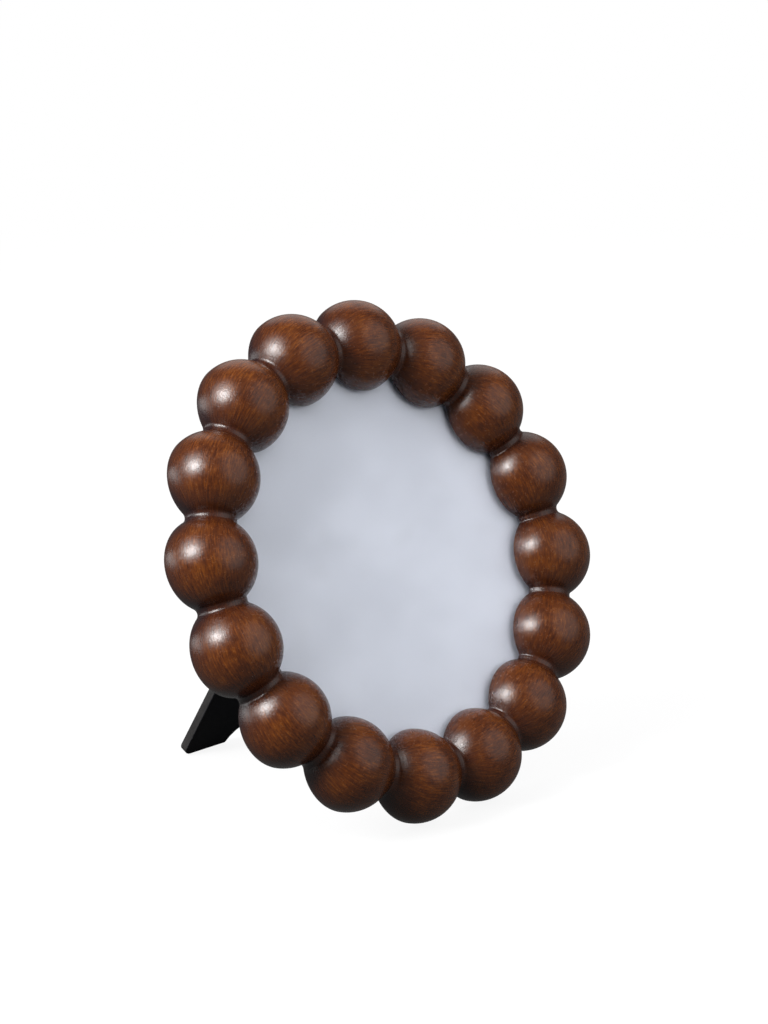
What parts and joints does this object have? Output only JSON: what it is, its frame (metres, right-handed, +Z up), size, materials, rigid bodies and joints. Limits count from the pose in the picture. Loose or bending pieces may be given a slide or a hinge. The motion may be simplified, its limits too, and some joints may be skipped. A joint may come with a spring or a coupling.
{
  "type": "round table picture frame",
  "caption": "Round picture frame with a rim of large beads, glass over a plain card, a back panel held by turn buttons, and a hinged strut that opens to a stop.",
  "frame": {"origin": "centre of the bounding box's bottom face, on the table that the frame stands on", "axes": "+Z up; the picture faces -Y and leans back; +X to the right of someone who looks at the picture"},
  "size_m": [0.158, 0.1052, 0.1463],
  "materials": {
    "ring": "cast resin with a streaked red-brown wood lacquer, satin",
    "glass": "clear float glass",
    "card": "plain cool grey card, matte",
    "board": "fibreboard with a matte black cover",
    "black_steel": "black oxide, low sheen",
    "nickel": "nickel plated steel"
  },
  "bodies": {
    "frame": {"bead_1": "ring", "bead_2": "ring", "bead_3": "ring", "bead_4": "ring", "bead_5": "ring", "bead_6": "ring", "bead_7": "ring", "bead_8": "ring", "bead_9": "ring", "bead_10": "ring", "bead_11": "ring", "bead_12": "ring", "bead_13": "ring", "bead_14": "ring", "bead_15": "ring", "bead_16": "ring", "glass": "glass", "photo_card": "card", "back_panel": "board", "button_screw_1": "nickel", "button_screw_2": "nickel", "button_screw_3": "nickel", "button_screw_4": "nickel", "hinge_panel_leaf": "black_steel", "hinge_pin": "black_steel", "panel_rivet_1": "nickel", "panel_rivet_2": "nickel"},
    "strut": {"strut_board": "board", "hinge_strut_leaf": "black_steel", "strut_rivet_1": "nickel", "strut_rivet_2": "nickel"},
    "button_1": {"turn_button_1": "nickel"},
    "button_2": {"turn_button_2": "nickel"},
    "button_3": {"turn_button_3": "nickel"},
    "button_4": {"turn_button_4": "nickel"}
  },
  "joints": [
    {"name": "strut_fold", "type": "hinge", "parent": "frame", "child": "strut", "pos_m": [0, 0.00644, 0.09749], "axis": [-1, 0, 0], "range_deg": [0, 49.5]},
    {"name": "button_turn_1", "type": "hinge", "parent": "frame", "child": "button_1", "pos_m": [0.05615, -0.02359, 0.03729], "axis": [0, 0.9114, -0.4115], "continuous": true},
    {"name": "button_turn_2", "type": "hinge", "parent": "frame", "child": "button_2", "pos_m": [0.05615, 0.00729, 0.10568], "axis": [0, 0.9114, -0.4115], "continuous": true},
    {"name": "button_turn_3", "type": "hinge", "parent": "frame", "child": "button_3", "pos_m": [-0.05615, -0.02359, 0.03729], "axis": [0, 0.9114, -0.4115], "continuous": true},
    {"name": "button_turn_4", "type": "hinge", "parent": "frame", "child": "button_4", "pos_m": [-0.05615, 0.00729, 0.10568], "axis": [0, 0.9114, -0.4115], "continuous": true}
  ]
}
